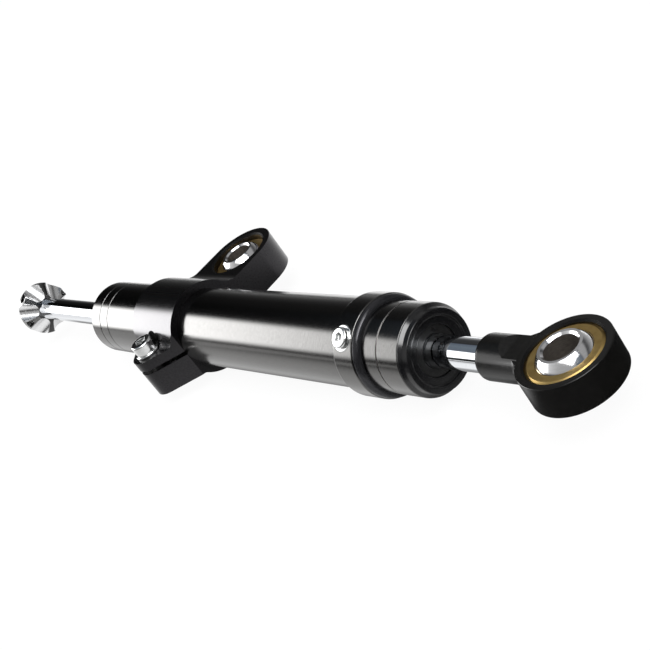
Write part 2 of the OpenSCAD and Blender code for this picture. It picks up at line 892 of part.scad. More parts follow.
module detent_springs() {
    color(steel) for (side = [0, 1]) around(detent_x, lobe_angle(1 + side * knob_scoops / 2))
        translate([0, 0, detent_z + detent_r]) difference() {
            cylinder(r = spring_r, h = spring_len);
            translate([0, 0, -eps]) cylinder(r = spring_r - spring_wire, h = spring_len + over);
        }
}

module detent_plugs() {
    color(steel) for (side = [0, 1]) around(detent_x, lobe_angle(1 + side * knob_scoops / 2))
        translate([0, 0, detent_z + detent_r + spring_len]) cylinder(r = drill_r - fit, h = plug_len);
}

// Needle with a hexagon tail in the knob's end wall, a seal groove and a taper at the rod's seat
module metering_needle() {
    seal_x = rod_tail + needle_seal_in;
    shoulder_x = rod_tail + needle_travel + key_gap;
    taper_x = piston_x - needle_taper;
    color(steel) union() {
        turned() difference() {
            union() {
                band(0, needle_r, shoulder_x, taper_x);
                polygon([
                    [0, taper_x - eps],
                    [needle_r, taper_x - eps],
                    [needle_r, taper_x],
                    [needle_tip_r, piston_x + needle_tip_in],
                    [0, piston_x + needle_tip_in]
                ]);
            }
            band(needle_r - needle_groove, needle_r + eps,
                seal_x - needle_groove_half, seal_x + needle_groove_half);
        }
        around(knob_end + over, 0) rotate([0, 90, 0]) key(key_across, shoulder_x - knob_end);
    }
}

module needle_o_ring() {
    color(rubber) turned()
        translate([needle_r - needle_ring_r, rod_tail + needle_seal_in]) circle(needle_ring_r);
}

body_tube();
front_lock_ring();
front_gland();
nose_cap();
front_wiper();
front_rod_seal();
front_rod_bush();
front_gland_o_ring();
front_bump_ring();
rear_lock_ring();
rear_cap();
rear_wiper();
rear_rod_seal();
rear_rod_bush();
rear_cap_o_ring();
rear_bump_ring();
bleed_screw();
bleed_washer();
clamp_bracket();
clamp_bolt();
clamp_washer();
clamp_race();
clamp_ball();
piston_rod();
piston();
piston_ring();
piston_clips();
rod_end_eye();
rod_end_race();
rod_end_ball();
adjuster_knob();
knob_screws();
detent_plugs();
detent_springs();
detent_balls();
metering_needle();
needle_o_ring();
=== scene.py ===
import json
import math

import bmesh
import bpy
from mathutils import Matrix, Vector


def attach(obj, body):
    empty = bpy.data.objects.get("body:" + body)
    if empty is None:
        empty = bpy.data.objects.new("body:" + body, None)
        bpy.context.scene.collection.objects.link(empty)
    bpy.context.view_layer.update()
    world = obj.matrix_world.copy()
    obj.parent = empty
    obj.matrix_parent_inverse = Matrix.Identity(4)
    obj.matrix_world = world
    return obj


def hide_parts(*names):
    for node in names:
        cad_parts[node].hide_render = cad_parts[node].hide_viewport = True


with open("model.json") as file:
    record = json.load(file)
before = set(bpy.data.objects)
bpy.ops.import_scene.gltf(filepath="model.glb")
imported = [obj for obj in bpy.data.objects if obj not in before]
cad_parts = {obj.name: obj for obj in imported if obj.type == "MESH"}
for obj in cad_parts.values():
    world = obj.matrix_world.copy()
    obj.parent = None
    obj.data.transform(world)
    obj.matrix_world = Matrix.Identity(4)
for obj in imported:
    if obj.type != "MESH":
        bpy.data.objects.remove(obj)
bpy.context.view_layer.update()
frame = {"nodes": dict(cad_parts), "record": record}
print("frame loaded:", len(frame["nodes"]), "nodes")

mm = 0.001
axisY = -33.6  # the damper's axis, beside the clamp's ball at the origin
onAxis = Matrix.Translation((0, axisY * mm, 0))
roundSteps, midSteps, smallSteps = 160, 128, 96  # faces round a large, a middling and a small turned piece
largeRound = 2  # from this rounding on a corner gets twice the segments
seamGap, cutGap = 1e-7, 2e-6  # metres within which vertices merge, along a spun seam and after the cuts
fit = 0.03  # gap on the radius between pieces that sit in each other
past, over = 20, 1  # how far a long and a short cutter reach past their piece
near, level = 0.05, 0.01  # how far off a surface a face may lie, and a vertex off a plane, to be chosen with it


def upright(x, y, z):  # turns a piece that was spun about X so that it stands along Z
    return Matrix.Translation((x * mm, y * mm, z * mm)) @ Matrix.Rotation(-math.pi / 2, 4, "Y")


def roundAxis(x, angle):  # place on the damper's axis, turned about it
    return onAxis @ Matrix.Translation((x * mm, 0, 0)) @ Matrix.Rotation(angle, 4, "X")


# Mesh tools

def addCylinder(bm, radius, low, high, steps, place):  # along Z before it is placed
    lift = Matrix.Translation((0, 0, (low + high) / 2 * mm))
    bmesh.ops.create_cone(bm, cap_ends=True, segments=steps, radius1=radius * mm, radius2=radius * mm,
                          depth=(high - low) * mm, matrix=place @ lift)


def addBlock(bm, low, high):  # between two opposite corners
    size = [(b - a) * mm for a, b in zip(low, high)]
    middle = [(a + b) / 2 * mm for a, b in zip(low, high)]
    bmesh.ops.create_cube(bm, size=1, matrix=Matrix.Translation(middle) @ Matrix.Diagonal((*size, 1)))


def arcFrom(bm, vert, centre, axis, degrees, steps):  # spins one vertex into an arc and gives its last vertex
    result = bmesh.ops.spin(bm, geom=[vert], cent=centre, axis=axis, angle=math.radians(degrees), steps=steps)
    return [g for g in result["geom_last"] if isinstance(g, bmesh.types.BMVert)][0]


def lineFrom(bm, vert, point):  # draws an edge to a point and gives its vertex
    end = bm.verts.new(point)
    bm.edges.new((vert, end))
    return end


def extruded(bm, first, last, vec):  # closes the outline drawn so far, fills it and pulls it along
    bm.edges.new((last, first))
    face = bmesh.ops.contextual_create(bm, geom=bm.edges[:])["faces"]
    grown = bmesh.ops.extrude_face_region(bm, geom=face)["geom"]
    bmesh.ops.translate(bm, verts=[g for g in grown if isinstance(g, bmesh.types.BMVert)], vec=vec)


def looseObject(name, bm):
    mesh = bpy.data.meshes.new(name)
    bm.to_mesh(mesh)
    bm.free()
    piece = bpy.data.objects.new(name, mesh)
    bpy.context.scene.collection.objects.link(piece)
    return piece


def cutter(build):  # a short-lived solid for the boolean cuts
    bm = bmesh.new()
    build(bm)
    bmesh.ops.recalc_face_normals(bm, faces=bm.faces)
    return looseObject("cutter", bm)


def hole(radius, low, high, steps, place):  # boolean step that drills along Z of its place
    return "DIFFERENCE", cutter(lambda bm: addCylinder(bm, radius, low, high, steps, place))


def keyHole(across, low, high, place):  # boolean step for a six-sided socket, by its width across the flats
    return hole(across / 2 / math.cos(math.pi / 6), low, high, 6, place)


def shaped(piece, steps):  # applies boolean steps one after another and drops the cutters
    for operation, tool in steps:
        change = piece.modifiers.new("cut", "BOOLEAN")
        change.operation = operation
        change.solver = "EXACT"
        change.object = tool
        graph = bpy.context.evaluated_depsgraph_get()
        mesh = bpy.data.meshes.new_from_object(piece.evaluated_get(graph))
        piece.modifiers.clear()
        piece.data = mesh
        bpy.data.objects.remove(tool)
    bm = bmesh.new()
    bm.from_mesh(piece.data)
    bmesh.ops.remove_doubles(bm, verts=bm.verts, dist=cutGap)
    bmesh.ops.dissolve_degenerate(bm, edges=bm.edges, dist=cutGap)
    bm.to_mesh(piece.data)
    bm.free()


def softEdges(piece, width, angle=28, segments=3):  # rounds every edge that is sharper than the angle
    edge = piece.modifiers.new("edges", "BEVEL")
    edge.width = width * mm
    edge.segments = segments
    edge.profile = 0.5
    edge.limit_method = "ANGLE"
    edge.angle_limit = math.radians(angle)
    edge.use_clamp_overlap = True
    edge.miter_outer = "MITER_ARC"


def roundRim(piece, width, chosen, sharper=0.5, segments=5):  # rounds the edges with both ends in the chosen place
    bm = bmesh.new()
    bm.from_mesh(piece.data)
    rim = [edge for edge in bm.edges if edge.is_manifold and edge.calc_face_angle() > sharper
           and all(chosen(vert.co / mm) for vert in edge.verts)]
    bmesh.ops.bevel(bm, geom=rim, offset=width * mm, offset_type="OFFSET", segments=segments, profile=0.5,
                    affect="EDGES", material=-1, clamp_overlap=True)
    bm.to_mesh(piece.data)
    bm.free()


def secondFinish(piece, finish, chosen):  # gives the faces in the chosen place a second material; it carries real finishes and also painted light and shade
    piece.data.materials.append(finish)
    for face in piece.data.polygons:
        if chosen(face.center / mm, face.normal):
            face.material_index = len(piece.data.materials) - 1


def finished(piece, finish, body, slot, *nodes, smooth=40):  # shades a piece, ties it to its body and hides the nodes it stands in for
    mesh = piece.data
    mesh.materials.clear()
    mesh.materials.append(finish)
    mesh.shade_smooth()
    mesh.set_sharp_from_angle(angle=math.radians(smooth))
    even = piece.modifiers.new("normals", "WEIGHTED_NORMAL")
    even.keep_sharp = True
    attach(piece, body)
    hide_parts(*nodes)
    print("piece", piece.name, len(mesh.polygons), "faces")


def spunRound(name, bm, place, steps):  # spins a wire all the way about X, closes its seam and puts it in place
    bmesh.ops.spin(bm, geom=bm.verts[:] + bm.edges[:], cent=(0, 0, 0), axis=(1, 0, 0),
                   angle=2 * math.pi, steps=steps, use_merge=True)
    bmesh.ops.remove_doubles(bm, verts=bm.verts, dist=seamGap)
    bmesh.ops.recalc_face_normals(bm, faces=bm.faces)
    bmesh.ops.transform(bm, matrix=place, verts=bm.verts)
    return looseObject(name, bm)


def turnedPiece(name, corners, place=onAxis, steps=roundSteps, closed=True):
    # corners are (along, radius, rounding) in millimetres; the wire is rounded corner by corner, then spun
    bm = bmesh.new()
    wire = [bm.verts.new((along * mm, radius * mm, 0)) for along, radius, _ in corners]
    ends = wire[1:] + wire[:1] if closed else wire[1:]
    for start, end in zip(wire, ends):
        bm.edges.new((start, end))
    for vert, (_, _, rounding) in zip(wire, corners):
        if rounding:
            bmesh.ops.bevel(bm, geom=[vert], offset=rounding * mm, offset_type="OFFSET",
                            segments=5 if rounding < largeRound else 10, profile=0.5, affect="VERTICES", material=-1)
    return spunRound(name, bm, place, steps)


def notch(start, end, outer, floor, rounding=0):  # corners of a groove turned into a piece
    return [(start, outer, rounding), (start, floor, 0), (end, floor, 0), (end, outer, rounding)]


# Shader tools

def addNode(tree, kind, **settings):
    node = tree.nodes.new("ShaderNode" + kind)
    for key, value in settings.items():
        setattr(node, key, value)
    return node


def joined(tree, operation, *inputs):  # math node with links and plain numbers as its inputs
    node = addNode(tree, "Math", operation=operation)
    for socket, value in zip(node.inputs, inputs):
        if isinstance(value, (int, float)):
            socket.default_value = value
        else:
            tree.links.new(value, socket)
    return node.outputs[0]


def eased(tree, value, low, high, first=0.0, last=1.0, ease="SMOOTHSTEP"):  # goes from first to last
    node = addNode(tree, "MapRange", interpolation_type=ease)
    for name, number in (("From Min", low), ("From Max", high), ("To Min", first), ("To Max", last)):
        node.inputs[name].default_value = number
    tree.links.new(value, node.inputs["Value"])
    return node.outputs["Result"]


def coloured(tree, value, stops):  # colour ramp over values from 0 to 1
    node = addNode(tree, "ValToRGB")
    ramp = node.color_ramp
    while len(ramp.elements) < len(stops):
        ramp.elements.new(0.5)
    for element, (position, colour) in zip(ramp.elements, stops):
        element.position = position
        element.color = (*colour, 1)
    tree.links.new(value, node.inputs["Fac"])
    return node.outputs["Color"]


def ramped(tree, value, low, high, stops):  # ramp over a stretch of values, with grey or coloured stops
    stops = [((at - low) / (high - low), c if isinstance(c, tuple) else (c, c, c)) for at, c in stops]
    return coloured(tree, eased(tree, value, low, high, ease="LINEAR"), stops)


def scaled(tree, colour, share):
    node = addNode(tree, "VectorMath", operation="SCALE")
    tree.links.new(colour, node.inputs[0])
    tree.links.new(share, node.inputs["Scale"])
    return node.outputs[0]


def summed(tree, first, *others):
    for other in others:
        node = addNode(tree, "VectorMath", operation="ADD")
        tree.links.new(first, node.inputs[0])
        tree.links.new(other, node.inputs[1])
        first = node.outputs[0]
    return first


# Finishes, some of them painted light or shade: each one has a grain on Object coordinates that moves its tint, its
# gloss and its bump

grainLook = {"detail": 4.0, "tint": (0.3, 0.7), "rough": (0.25, 0.75), "bump": 0.6}


def grainFinish(name, tints, metallic, gloss, stretch, scale, bump, specular=0.5):
    finish = bpy.data.materials.new(name)
    finish.use_nodes = True
    tree = finish.node_tree
    shader = tree.nodes["Principled BSDF"]
    shader.inputs["Metallic"].default_value = metallic
    shader.inputs["Specular IOR Level"].default_value = specular
    where = addNode(tree, "TexCoord")
    turn = addNode(tree, "Mapping")
    turn.inputs["Scale"].default_value = stretch
    noise = addNode(tree, "TexNoise")
    noise.inputs["Scale"].default_value = scale
    noise.inputs["Detail"].default_value = grainLook["detail"]
    grain = noise.outputs["Fac"]
    height = addNode(tree, "Bump")
    height.inputs["Distance"].default_value = bump * mm
    height.inputs["Strength"].default_value = grainLook["bump"]
    tint = coloured(tree, grain, list(zip(grainLook["tint"], tints)))
    rough = eased(tree, grain, *grainLook["rough"], *gloss, "LINEAR")
    tree.links.new(where.outputs["Object"], turn.inputs["Vector"])
    tree.links.new(turn.outputs["Vector"], noise.inputs["Vector"])
    tree.links.new(grain, height.inputs["Height"])
    tree.links.new(tint, shader.inputs["Base Color"])
    tree.links.new(rough, shader.inputs["Roughness"])
    tree.links.new(height.outputs["Normal"], shader.inputs["Normal"])
    return finish


hardGrey = grainFinish("hardGrey", [(0.118, 0.116, 0.113), (0.15, 0.148, 0.145)], 1.0, (0.13, 0.2),
                       (6, 1, 1), 900, 0.002)
clampBlack = grainFinish("clampBlack", [(0.03, 0.029, 0.031), (0.042, 0.041, 0.043)], 1.0, (0.26, 0.34),
                         (1, 1, 1), 1600, 0.001)
# a lighter copy of the clamp's one black finish, for the turned ring and its blends: painted highlight where they
# catch the softbox
clampLitCopy = grainFinish("clampLitCopy", [(0.104, 0.102, 0.105), (0.124, 0.122, 0.125)], 1.0, (0.19, 0.26),
                          (6, 1, 1), 900, 0.001)
# near-black, matt and barely glossy: painted shade for the wall of the bolt's pocket and the sloping edges of the
# bearing seats
pocketShade = grainFinish("pocketShade", [(0.003, 0.003, 0.003), (0.005, 0.005, 0.005)], 0.0, (0.45, 0.6),
                          (1, 1, 1), 1600, 0.002, specular=0.05)
ringBlack = grainFinish("ringBlack", [(0.02, 0.02, 0.022), (0.03, 0.03, 0.033)], 0.6, (0.16, 0.24),
                        (8, 1, 1), 700, 0.001)
noseBlack = grainFinish("noseBlack", [(0.004, 0.004, 0.0045), (0.006, 0.006, 0.0065)], 0.0, (0.16, 0.19),
                        (3, 1, 1), 500, 0.00005)
rodEndBlack = grainFinish("rodEndBlack", [(0.0025, 0.0024, 0.0022), (0.004, 0.0038, 0.0035)], 0.0, (0.2, 0.27),
                          (1, 1, 1), 900, 0.0004, specular=0.32)
rodChrome = grainFinish("rodChrome", [(0.8, 0.82, 0.85), (0.88, 0.9, 0.93)], 1.0, (0.03, 0.07),
                        (12, 1, 1), 900, 0.0004)
ballChrome = grainFinish("ballChrome", [(0.8, 0.8, 0.81), (0.88, 0.88, 0.89)], 1.0, (0.1, 0.16),
                         (1, 1, 9), 500, 0.0005)
# rough like a drilled wall, and darkened: painted shade inside the ball's bore
boreShade = grainFinish("boreShade", [(0.09, 0.08, 0.07), (0.16, 0.14, 0.12)], 0.7, (0.45, 0.6),
                       (1, 1, 6), 900, 0.002)
bareLine = grainFinish("bareLine", [(0.33, 0.32, 0.31), (0.42, 0.41, 0.4)], 1.0, (0.28, 0.38),
                       (8, 1, 1), 900, 0.001)
raceBrass = grainFinish("raceBrass", [(0.54, 0.36, 0.12), (0.64, 0.45, 0.17)], 1.0, (0.29, 0.36),
                        (1, 1, 6), 500, 0.0006)
brightSteel = grainFinish("brightSteel", [(0.66, 0.665, 0.66), (0.78, 0.785, 0.78)], 1.0, (0.12, 0.24),
                          (1, 1, 4), 1100, 0.001)
# a dark copy of the knob's aluminium for everything except the scoops: painted shade on the knob's faces
knobShadeCopy = grainFinish("knobShadeCopy", [(0.13, 0.129, 0.128), (0.18, 0.179, 0.178)], 1.0, (0.12, 0.18),
                         (1, 1, 1), 1200, 0.001)
knobAluminium = grainFinish("knobAluminium", [(0.76, 0.76, 0.765), (0.86, 0.86, 0.865)], 1.0, (0.24, 0.3),
                            (8, 1, 1), 900, 0.001)
pistonAluminium = grainFinish("pistonAluminium", [(0.52, 0.52, 0.53), (0.64, 0.64, 0.65)], 1.0, (0.25, 0.38),
                              (10, 1, 1), 700, 0.002)
bushBronze = grainFinish("bushBronze", [(0.42, 0.27, 0.12), (0.58, 0.4, 0.2)], 0.8, (0.4, 0.6),
                         (1, 1, 1), 2600, 0.006)
slideRingPlastic = grainFinish("slideRingPlastic", [(0.38, 0.33, 0.24), (0.5, 0.44, 0.33)], 0.0, (0.45, 0.6),
                               (1, 1, 1), 1800, 0.004)
sealRubber = grainFinish("sealRubber", [(0.014, 0.014, 0.014), (0.026, 0.026, 0.025)], 0.0, (0.42, 0.6),
                         (1, 1, 1), 2200, 0.005)
wiperRubber = grainFinish("wiperRubber", [(0.005, 0.005, 0.005), (0.009, 0.009, 0.009)], 0.0, (0.26, 0.32),
                          (3, 1, 1), 700, 0.00005)
print("finishes ready")

# Barrel: tube with its collar, and the seat of the bleed screw cut into it

tube = {"radius": 14.5, "bore": 12.0, "rear": -43.5, "front": 123.5, "collar": 16.3, "collarLen": 11.0,
        "slope": 1.2, "slopeFrom": 0.6}
bleed = {"x": 118.6, "angle": 129.0, "seat": 15.2, "washer": 4.2, "washerT": 0.9, "head": 3.3, "headH": 1.5,
         "shaft": 2.0, "tip": 12.3, "drillFrom": 5, "over": 5, "socket": 3.0, "socketFloor": 0.3, "soft": 0.12}
bleedPlace = roundAxis(bleed["x"], math.radians(bleed["angle"] - 90))
slopeX = tube["front"] - tube["collarLen"] + tube["slopeFrom"]
barrelTube = turnedPiece("barrelTube", [
    (tube["rear"], tube["bore"], 0.3), (tube["rear"], tube["radius"], 0.35),
    (slopeX, tube["radius"], 0.4), (slopeX + tube["slope"], tube["collar"], 0.5),
    (tube["front"], tube["collar"], 0.35), (tube["front"], tube["bore"], 0.3)])
drillTo = tube["collar"] + bleed["over"]
shaped(barrelTube, [hole(bleed["washer"] + fit, bleed["seat"], drillTo, smallSteps, bleedPlace),
                    hole(bleed["shaft"] + fit, bleed["drillFrom"], drillTo, smallSteps, bleedPlace)])
finished(barrelTube, hardGrey, "barrel", "barrel_grey", "body_tube")

standBleed = bleedPlace @ Matrix.Rotation(-math.pi / 2, 4, "Y")
seatZ, washerZ = bleed["seat"], bleed["seat"] + bleed["washerT"]
bleedWasher = turnedPiece("bleedWasher", [
    (seatZ, bleed["shaft"] + fit, 0.1), (seatZ, bleed["washer"], 0.1), (washerZ, bleed["washer"], 0.3),
    (washerZ, bleed["shaft"] + fit, 0.1)], standBleed, smallSteps)
finished(bleedWasher, brightSteel, "barrel", "bright_steel", "bleed_washer")
bleedTop = washerZ + bleed["headH"]
bleedScrew = turnedPiece("bleedScrew", [
    (bleed["tip"], 0, 0), (bleed["tip"], bleed["shaft"], 0.3), (washerZ, bleed["shaft"], 0),
    (washerZ, bleed["head"], 0.15), (bleedTop, bleed["head"], 0.6), (bleedTop, 0, 0)],
    standBleed, smallSteps, closed=False)
shaped(bleedScrew, [keyHole(bleed["socket"], washerZ + bleed["socketFloor"], bleedTop + over, bleedPlace)])
softEdges(bleedScrew, bleed["soft"])
finished(bleedScrew, brightSteel, "barrel", "bright_steel", "bleed_screw")
print("barrel tube and bleed screw done")

# Front head: lock ring, gland with its turned line, nose cap and scraper

head = {"lockR": 16.0, "lockLen": 2.1, "lockRound": 1.6, "thread": 12.8, "glandR": 14.1, "glandLen": 16.5,
        "lineBack": 9.8, "lineW": 0.5, "lineDeep": 0.3, "spigotIn": 94.2, "spigot": 11.97, "stub": 7.5,
        "stubLen": 2.2, "rodHole": 5.3, "bush": 6.5, "bushLen": 12.0, "seal": 8.4, "sealLen": 5.0,
        "capThread": 10.6, "capLen": 5.6, "nose": 14.0, "noseLen": 2.9, "noseRim": 0.3, "noseSlope": 1.0,
        "noseTaper": 0.4, "recess": 10.5, "recessDeep": 1.1, "wiper": 7.9, "wiperLen": 4.6, "wiperLip": 1.1,
        "wiperBore": 5.06, "wiperMouth": 5.5, "wiperFall": 0.35, "seatWall": 1.2, "sealGroove": 9.89,
        "sealBack": 5.0, "sealHalf": 1.2}
lockX = tube["front"] + head["lockLen"]
glandX = lockX + head["glandLen"]
noseX = glandX + head["noseLen"]
lockRing = turnedPiece("lockRing", [
    (tube["front"], head["thread"] + fit, 0.1), (tube["front"], head["lockR"], 0.2),
    (lockX, head["lockR"], head["lockRound"]), (lockX, head["thread"] + fit, 0.1)])
finished(lockRing, ringBlack, "barrel", "black_anodised", "front_lock_ring")


def sealNotch(x):  # groove of a head's static seal
    return notch(x - head["sealHalf"], x + head["sealHalf"], head["spigot"], head["sealGroove"])


lineX = glandX - head["lineBack"]
lineEnd = lineX + head["lineW"]
spigotX = head["spigotIn"]
stubX = spigotX - head["stubLen"]
bushX = stubX + head["bushLen"]
neckX = glandX - head["capLen"]
sealX = neckX - head["sealLen"]
glandRing = turnedPiece("glandRing", [
    (stubX, head["bush"], 0), (stubX, head["stub"], 0.3), (spigotX, head["stub"], 0), (spigotX, head["spigot"], 0.3),
    *sealNotch(tube["front"] - head["sealBack"]), (tube["front"], head["spigot"], 0),
    (tube["front"], head["thread"], 0), (lockX, head["thread"], 0), (lockX, head["glandR"], 0.25),
    *notch(lineX, lineEnd, head["glandR"], head["glandR"] - head["lineDeep"], 0.12),
    (glandX, head["glandR"], 0.25), (glandX, head["capThread"], 0.2), (neckX, head["capThread"], 0),
    (neckX, head["seal"], 0), (sealX, head["seal"], 0), (sealX, head["rodHole"], 0), (bushX, head["rodHole"], 0),
    (bushX, head["bush"], 0)])
finished(glandRing, hardGrey, "barrel", "barrel_grey", "front_gland")
secondFinish(glandRing, bareLine, lambda p, n: lineX - near < p.x < lineEnd + near
             and head["thread"] < math.hypot(p.y - axisY, p.z) < head["glandR"] - near)

slopeR = head["nose"] - head["noseSlope"]
rimX, seatX, recessX = glandX + head["noseRim"], neckX + head["seatWall"], noseX - head["recessDeep"]
noseCap = turnedPiece("noseCap", [
    (neckX, head["rodHole"], 0.2), (neckX, head["capThread"] - fit, 0.3), (glandX, head["capThread"] - fit, 0),
    (glandX, head["nose"], 0.1), (rimX, head["nose"], 0.06), (rimX + head["noseSlope"], slopeR, 0.1),
    (noseX, slopeR - head["noseTaper"], 0.3), (noseX, head["recess"], 0.6), (recessX, head["recess"], 0.6),
    (recessX, head["wiper"], 0.3), (seatX, head["wiper"], 0), (seatX, head["rodHole"], 0.1)])
finished(noseCap, noseBlack, "barrel", "black_anodised", "nose_cap", smooth=25)


def scraper(name, seat, side, node):  # ring that the rod comes out of; side is the way its smooth face looks
    front = seat + side * (head["wiperLen"] + head["wiperLip"])
    bore, outer = head["wiperBore"], head["wiper"] - fit
    corners = [(seat, bore, 0), (seat, outer, 0.2), (front, outer, 0.3), (front, head["wiperMouth"], 0.12),
               (front - side * head["wiperFall"], bore, 0)]
    finished(turnedPiece(name, corners), wiperRubber, "barrel", "seal_rubber", node, smooth=25)


scraper("noseScraper", seatX, 1, "front_wiper")
print("front head done")

# Rear head: lock ring, cap and scraper

rear = {"lockLen": 6.6, "capLen": 8.4, "spigotLen": 17.3, "edge": 0.35, "slope": 1.0}
rearLockX = tube["rear"] - rear["lockLen"]
barrelRear = rearLockX - rear["capLen"]
rearIn = tube["rear"] + rear["spigotLen"]
rearRing = turnedPiece("rearRing", [
    (rearLockX, head["thread"] + fit, 0.1), (rearLockX, tube["radius"], rear["edge"]),
    (tube["rear"], tube["radius"], rear["edge"]), (tube["rear"], head["thread"] + fit, 0.1)])
finished(rearRing, hardGrey, "barrel", "barrel_grey", "rear_lock_ring")
wiperEnd = barrelRear + head["wiperLen"]
rearSeal = wiperEnd + head["seatWall"]
rearSealEnd = rearSeal + head["sealLen"]
rearStub = rearIn + head["stubLen"]
rearBush = rearStub - head["bushLen"]
rearCap = turnedPiece("rearCap", [
    (barrelRear, head["wiper"], 0.3), (barrelRear, tube["radius"], rear["slope"]),
    (rearLockX, tube["radius"], rear["edge"]), (rearLockX, head["thread"], 0), (tube["rear"], head["thread"], 0),
    (tube["rear"], head["spigot"], 0), *sealNotch(tube["rear"] + head["sealBack"]),
    (rearIn, head["spigot"], 0.3), (rearIn, head["stub"], 0), (rearStub, head["stub"], 0.3),
    (rearStub, head["bush"], 0), (rearBush, head["bush"], 0), (rearBush, head["rodHole"], 0),
    (rearSealEnd, head["rodHole"], 0), (rearSealEnd, head["seal"], 0), (rearSeal, head["seal"], 0),
    (rearSeal, head["rodHole"], 0), (wiperEnd, head["rodHole"], 0), (wiperEnd, head["wiper"], 0)])
finished(rearCap, hardGrey, "barrel", "barrel_grey", "rear_cap")
scraper("rearScraper", wiperEnd, -1, "rear_wiper")
print("rear head done")

# Split clamp: side form and top form meet, then bore, split, bearing seat and bolt pocket are cut

clamp = {"width": 30.3, "ring": 17.4, "bore": 14.53, "eye": 14.9, "eyeHalf": 6.8, "armBlend": 9.0, "lugOff": 20.3,
         "lugR": 7.0, "lugTop": 4.8, "lugLow": 11.2, "lugBlend": 3.0, "split": 1.7, "race": 11.5, "raceEdge": 0.6,
         "boltHole": 2.8, "threadHole": 2.53, "threadFrom": -13, "threadTo": 2, "pocket": 6.0, "edge": 0.35,
         "eyeRound": 0.95, "rimFrom": 13.0}


def blendPoint(height, blend, side):  # centre of a blend between the ring and a flat at that height
    reach = math.sqrt((clamp["ring"] + blend) ** 2 - (height + blend) ** 2)
    return side * reach, height + blend


def clampSide(bm):  # outline seen along X, pulled over the clamp's width
    half = clamp["width"] / 2
    middle = (-half * mm, axisY * mm, 0)

    def at(across, up):
        return (-half * mm, (axisY + across) * mm, up * mm)

    def ringTurn(a, b):  # way round the ring from one blend's centre to the next, as the arm-to-lug arcs go
        return math.degrees((math.atan2(b[1], b[0]) - math.atan2(a[1], a[0])) % (2 * math.pi))

    armReach = -axisY + clamp["eye"] + over
    lugReach = clamp["lugOff"] + clamp["lugR"] + over
    arm = blendPoint(clamp["eyeHalf"], clamp["armBlend"], 1)
    lugUp = blendPoint(clamp["lugTop"], clamp["lugBlend"], -1)
    lugDown = blendPoint(clamp["lugLow"], clamp["lugBlend"], -1)
    axis = (1, 0, 0)
    first = bm.verts.new(at(armReach, -clamp["eyeHalf"]))
    vert = lineFrom(bm, first, at(armReach, clamp["eyeHalf"]))
    vert = lineFrom(bm, vert, at(arm[0], clamp["eyeHalf"]))
    armTurn = 90 - math.degrees(math.atan2(arm[1], arm[0]))
    vert = arcFrom(bm, vert, at(*arm), axis, -armTurn, 14)
    vert = arcFrom(bm, vert, middle, axis, ringTurn(arm, lugUp), 60)
    upTurn = 90 - math.degrees(math.atan2(lugUp[1], -lugUp[0]))
    vert = arcFrom(bm, vert, at(*lugUp), axis, -upTurn, 10)
    vert = lineFrom(bm, vert, at(-lugReach, clamp["lugTop"]))
    vert = lineFrom(bm, vert, at(-lugReach, -clamp["lugLow"]))
    vert = lineFrom(bm, vert, at(lugDown[0], -clamp["lugLow"]))
    downTurn = 90 - math.degrees(math.atan2(lugDown[1], -lugDown[0]))
    vert = arcFrom(bm, vert, at(lugDown[0], -lugDown[1]), axis, -downTurn, 10)
    vert = arcFrom(bm, vert, middle, axis, ringTurn((lugDown[0], -lugDown[1]), (arm[0], -arm[1])), 60)
    vert = arcFrom(bm, vert, at(arm[0], -arm[1]), axis, -armTurn, 14)
    extruded(bm, first, vert, (clamp["width"] * mm, 0, 0))


def tangentAngle(corner, centre, radius, side):  # where the flank from a corner touches a round
    away = (corner[0] - centre[0], corner[1] - centre[1])
    return math.atan2(away[1], away[0]) + side * math.acos(radius / math.hypot(*away))


def clampTop(bm):  # outline seen along Z, pulled through the clamp's height
    half, reach = clamp["width"] / 2, clamp["bore"]
    low = -(clamp["ring"] + over)

    def at(x, across):
        return (x * mm, (axisY + across) * mm, low * mm)

    eyeAngle = tangentAngle((half, reach), (0, -axisY), clamp["eye"], 1)
    lugAngle = tangentAngle((half, -reach), (0, -clamp["lugOff"]), clamp["lugR"], -1)
    axis = (0, 0, 1)
    first = bm.verts.new(at(half, -reach))
    vert = lineFrom(bm, first, at(half, reach))
    vert = lineFrom(bm, vert, at(clamp["eye"] * math.cos(eyeAngle), -axisY + clamp["eye"] * math.sin(eyeAngle)))
    vert = arcFrom(bm, vert, at(0, -axisY), axis, 180 - 2 * math.degrees(eyeAngle), 72)
    vert = lineFrom(bm, vert, at(-half, reach))
    vert = lineFrom(bm, vert, at(-half, -reach))
    vert = lineFrom(bm, vert, at(-clamp["lugR"] * math.cos(lugAngle),
                                 -clamp["lugOff"] + clamp["lugR"] * math.sin(lugAngle)))
    vert = arcFrom(bm, vert, at(0, -clamp["lugOff"]), axis, 180 + 2 * math.degrees(lugAngle), 40)
    extruded(bm, first, vert, (0, 0, -2 * low * mm))


lugY = axisY - clamp["lugOff"]
atLug = Matrix.Translation((0, lugY * mm, 0))
alongX = onAxis @ Matrix.Rotation(math.pi / 2, 4, "Y")


def seatHole(half, bore, edge, place):  # boolean step for a spherical bearing's seat with an edge at both faces
    end, wide = half + over, bore + edge + over
    corners = [(-end, 0, 0), (-end, wide, 0), (-half + edge, bore, 0), (half - edge, bore, 0), (end, wide, 0),
               (end, 0, 0)]
    return "DIFFERENCE", turnedPiece("cutter", corners, place, midSteps, closed=False)


